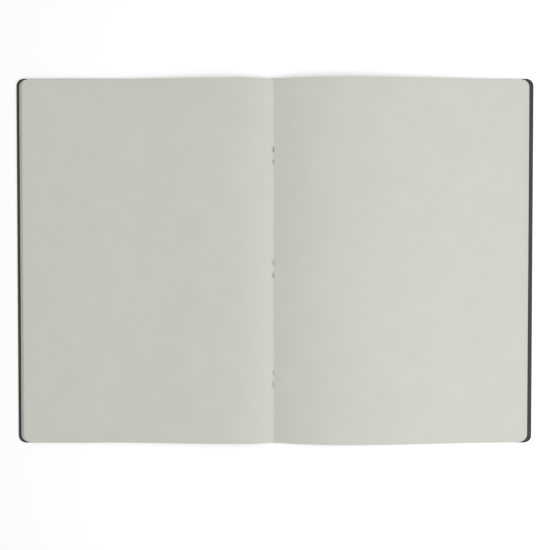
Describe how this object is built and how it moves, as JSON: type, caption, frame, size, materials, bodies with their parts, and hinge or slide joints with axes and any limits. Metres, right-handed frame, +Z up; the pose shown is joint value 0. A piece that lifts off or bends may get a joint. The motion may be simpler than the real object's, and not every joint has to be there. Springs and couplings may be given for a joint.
{
  "type": "sketchbook",
  "caption": "Open A4 stapled sketchbook with blank ivory leaves that turn and a dark card cover that folds shut.",
  "frame": {"origin": "on the table, under the middle of the fold, at half the cover's height", "axes": "+X across the spread towards the back cover's fore-edge, +Y along the fold towards the head, +Z up from the table"},
  "size_m": [0.4224, 0.2986, 0.0039],
  "materials": {
    "leaf_paper": "matt uncoated drawing paper",
    "cover_card": "matt dyed-through card",
    "stitching_wire": "drawn steel wire"
  },
  "bodies": {
    "back": {"back_cover": "cover_card", "cover_spine": "cover_card", "sheet_fold_01": "leaf_paper", "sheet_fold_02": "leaf_paper", "sheet_fold_03": "leaf_paper", "sheet_fold_04": "leaf_paper", "sheet_fold_05": "leaf_paper", "sheet_fold_06": "leaf_paper", "sheet_fold_07": "leaf_paper", "sheet_fold_08": "leaf_paper", "sheet_fold_09": "leaf_paper", "sheet_fold_10": "leaf_paper", "head_staple": "stitching_wire", "middle_staple": "stitching_wire", "tail_staple": "stitching_wire"},
    "front": {"front_cover": "cover_card"},
    "left_leaf_01": {"left_leaf_01": "leaf_paper"},
    "left_leaf_02": {"left_leaf_02": "leaf_paper"},
    "left_leaf_03": {"left_leaf_03": "leaf_paper"},
    "left_leaf_04": {"left_leaf_04": "leaf_paper"},
    "left_leaf_05": {"left_leaf_05": "leaf_paper"},
    "left_leaf_06": {"left_leaf_06": "leaf_paper"},
    "left_leaf_07": {"left_leaf_07": "leaf_paper"},
    "left_leaf_08": {"left_leaf_08": "leaf_paper"},
    "left_leaf_09": {"left_leaf_09": "leaf_paper"},
    "left_leaf_10": {"left_leaf_10": "leaf_paper"},
    "right_leaf_01": {"right_leaf_01": "leaf_paper"},
    "right_leaf_02": {"right_leaf_02": "leaf_paper"},
    "right_leaf_03": {"right_leaf_03": "leaf_paper"},
    "right_leaf_04": {"right_leaf_04": "leaf_paper"},
    "right_leaf_05": {"right_leaf_05": "leaf_paper"},
    "right_leaf_06": {"right_leaf_06": "leaf_paper"},
    "right_leaf_07": {"right_leaf_07": "leaf_paper"},
    "right_leaf_08": {"right_leaf_08": "leaf_paper"},
    "right_leaf_09": {"right_leaf_09": "leaf_paper"},
    "right_leaf_10": {"right_leaf_10": "leaf_paper"}
  },
  "joints": [
    {"name": "front_cover_fold", "type": "hinge", "parent": "back", "child": "front", "pos_m": [0, 0, 0.0032], "axis": [0, -1, 0], "range_deg": [-179.9, 0]},
    {"name": "left_leaf_01_turn", "type": "hinge", "parent": "back", "child": "left_leaf_01", "pos_m": [0, 0, 0.0032], "axis": [0, -1, 0], "range_deg": [-179.9, 0]},
    {"name": "left_leaf_02_turn", "type": "hinge", "parent": "back", "child": "left_leaf_02", "pos_m": [0, 0, 0.0032], "axis": [0, -1, 0], "range_deg": [-179.9, 0]},
    {"name": "left_leaf_03_turn", "type": "hinge", "parent": "back", "child": "left_leaf_03", "pos_m": [0, 0, 0.0032], "axis": [0, -1, 0], "range_deg": [-179.9, 0]},
    {"name": "left_leaf_04_turn", "type": "hinge", "parent": "back", "child": "left_leaf_04", "pos_m": [0, 0, 0.0032], "axis": [0, -1, 0], "range_deg": [-179.9, 0]},
    {"name": "left_leaf_05_turn", "type": "hinge", "parent": "back", "child": "left_leaf_05", "pos_m": [0, 0, 0.0032], "axis": [0, -1, 0], "range_deg": [-179.9, 0]},
    {"name": "left_leaf_06_turn", "type": "hinge", "parent": "back", "child": "left_leaf_06", "pos_m": [0, 0, 0.0032], "axis": [0, -1, 0], "range_deg": [-179.9, 0]},
    {"name": "left_leaf_07_turn", "type": "hinge", "parent": "back", "child": "left_leaf_07", "pos_m": [0, 0, 0.0032], "axis": [0, -1, 0], "range_deg": [-179.9, 0]},
    {"name": "left_leaf_08_turn", "type": "hinge", "parent": "back", "child": "left_leaf_08", "pos_m": [0, 0, 0.0032], "axis": [0, -1, 0], "range_deg": [-179.9, 0]},
    {"name": "left_leaf_09_turn", "type": "hinge", "parent": "back", "child": "left_leaf_09", "pos_m": [0, 0, 0.0032], "axis": [0, -1, 0], "range_deg": [-179.9, 0]},
    {"name": "left_leaf_10_turn", "type": "hinge", "parent": "back", "child": "left_leaf_10", "pos_m": [0, 0, 0.0032], "axis": [0, -1, 0], "range_deg": [-179.9, 0]},
    {"name": "right_leaf_01_turn", "type": "hinge", "parent": "back", "child": "right_leaf_01", "pos_m": [0, 0, 0.0032], "axis": [0, -1, 0], "range_deg": [0, 150]},
    {"name": "right_leaf_02_turn", "type": "hinge", "parent": "back", "child": "right_leaf_02", "pos_m": [0, 0, 0.0032], "axis": [0, -1, 0], "range_deg": [0, 148.8]},
    {"name": "right_leaf_03_turn", "type": "hinge", "parent": "back", "child": "right_leaf_03", "pos_m": [0, 0, 0.0032], "axis": [0, -1, 0], "range_deg": [0, 147.6]},
    {"name": "right_leaf_04_turn", "type": "hinge", "parent": "back", "child": "right_leaf_04", "pos_m": [0, 0, 0.0032], "axis": [0, -1, 0], "range_deg": [0, 146.4]},
    {"name": "right_leaf_05_turn", "type": "hinge", "parent": "back", "child": "right_leaf_05", "pos_m": [0, 0, 0.0032], "axis": [0, -1, 0], "range_deg": [0, 145.2]},
    {"name": "right_leaf_06_turn", "type": "hinge", "parent": "back", "child": "right_leaf_06", "pos_m": [0, 0, 0.0032], "axis": [0, -1, 0], "range_deg": [0, 144]},
    {"name": "right_leaf_07_turn", "type": "hinge", "parent": "back", "child": "right_leaf_07", "pos_m": [0, 0, 0.0032], "axis": [0, -1, 0], "range_deg": [0, 142.8]},
    {"name": "right_leaf_08_turn", "type": "hinge", "parent": "back", "child": "right_leaf_08", "pos_m": [0, 0, 0.0032], "axis": [0, -1, 0], "range_deg": [0, 141.6]},
    {"name": "right_leaf_09_turn", "type": "hinge", "parent": "back", "child": "right_leaf_09", "pos_m": [0, 0, 0.0032], "axis": [0, -1, 0], "range_deg": [0, 140.4]},
    {"name": "right_leaf_10_turn", "type": "hinge", "parent": "back", "child": "right_leaf_10", "pos_m": [0, 0, 0.0032], "axis": [0, -1, 0], "range_deg": [0, 139.2]}
  ],
  "couplings": [
    {"joint": "left_leaf_01_turn", "follows": "front_cover_fold", "ratio": 1},
    {"joint": "left_leaf_02_turn", "follows": "front_cover_fold", "ratio": 1},
    {"joint": "left_leaf_03_turn", "follows": "front_cover_fold", "ratio": 1},
    {"joint": "left_leaf_04_turn", "follows": "front_cover_fold", "ratio": 1},
    {"joint": "left_leaf_05_turn", "follows": "front_cover_fold", "ratio": 1},
    {"joint": "left_leaf_06_turn", "follows": "front_cover_fold", "ratio": 1},
    {"joint": "left_leaf_07_turn", "follows": "front_cover_fold", "ratio": 1},
    {"joint": "left_leaf_08_turn", "follows": "front_cover_fold", "ratio": 1},
    {"joint": "left_leaf_09_turn", "follows": "front_cover_fold", "ratio": 1},
    {"joint": "left_leaf_10_turn", "follows": "front_cover_fold", "ratio": 1},
    {"joint": "right_leaf_02_turn", "follows": "right_leaf_01_turn", "ratio": 0.992},
    {"joint": "right_leaf_03_turn", "follows": "right_leaf_01_turn", "ratio": 0.984},
    {"joint": "right_leaf_04_turn", "follows": "right_leaf_01_turn", "ratio": 0.976},
    {"joint": "right_leaf_05_turn", "follows": "right_leaf_01_turn", "ratio": 0.968},
    {"joint": "right_leaf_06_turn", "follows": "right_leaf_01_turn", "ratio": 0.96},
    {"joint": "right_leaf_07_turn", "follows": "right_leaf_01_turn", "ratio": 0.952},
    {"joint": "right_leaf_08_turn", "follows": "right_leaf_01_turn", "ratio": 0.944},
    {"joint": "right_leaf_09_turn", "follows": "right_leaf_01_turn", "ratio": 0.936},
    {"joint": "right_leaf_10_turn", "follows": "right_leaf_01_turn", "ratio": 0.928}
  ]
}
